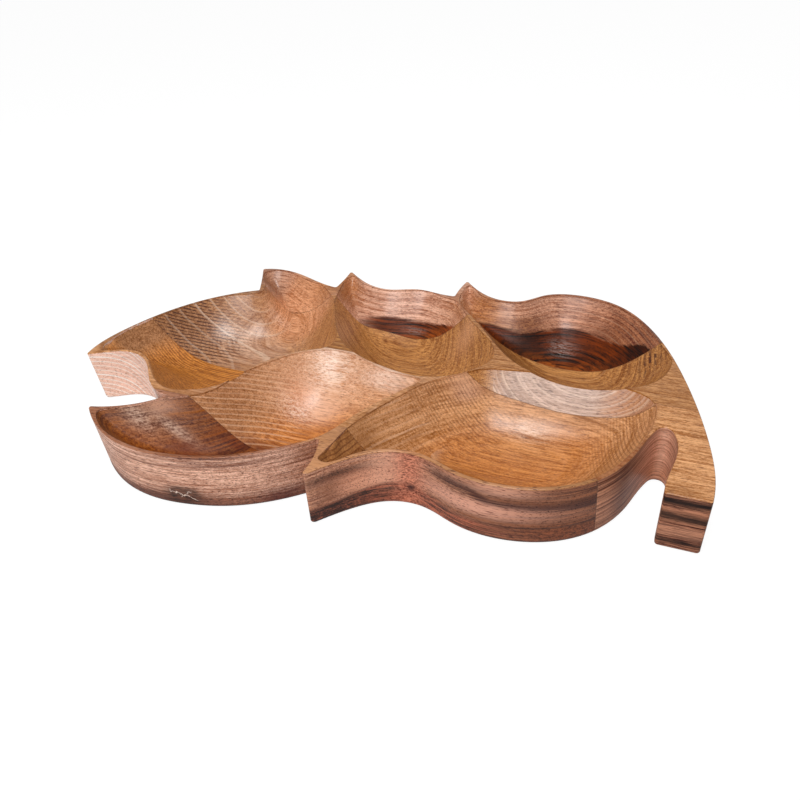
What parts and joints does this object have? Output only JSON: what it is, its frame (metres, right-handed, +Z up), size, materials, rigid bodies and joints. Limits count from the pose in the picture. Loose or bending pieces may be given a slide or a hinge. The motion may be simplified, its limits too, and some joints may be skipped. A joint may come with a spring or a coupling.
{
  "type": "wooden snack dish",
  "caption": "Shallow carved wooden serving dish with leaf-shaped bowls side by side and a curved stem, made from edge-glued staves.",
  "frame": {"origin": "middle of the dish's length and width, on the flat underside", "axes": "+X along the glue lines and the longest side, towards the stem; +Y towards the three small leaf tips; +Z up"},
  "size_m": [0.445, 0.2856, 0.04],
  "materials": {
    "heartwood": "oiled satin, reddish brown with dark streaks",
    "olive_wood_tone": "oiled satin, greyish tan",
    "golden_wood_tone": "oiled satin, golden tan",
    "glue": "set wood glue, seen only as a dark line"
  },
  "bodies": {
    "root": {"back_stave": "heartwood", "rear_middle_stave": "olive_wood_tone", "front_middle_stave": "golden_wood_tone", "front_stave": "heartwood", "rear_glue_film": "glue", "centre_glue_film": "glue", "front_glue_film": "glue"}
  },
  "joints": []
}
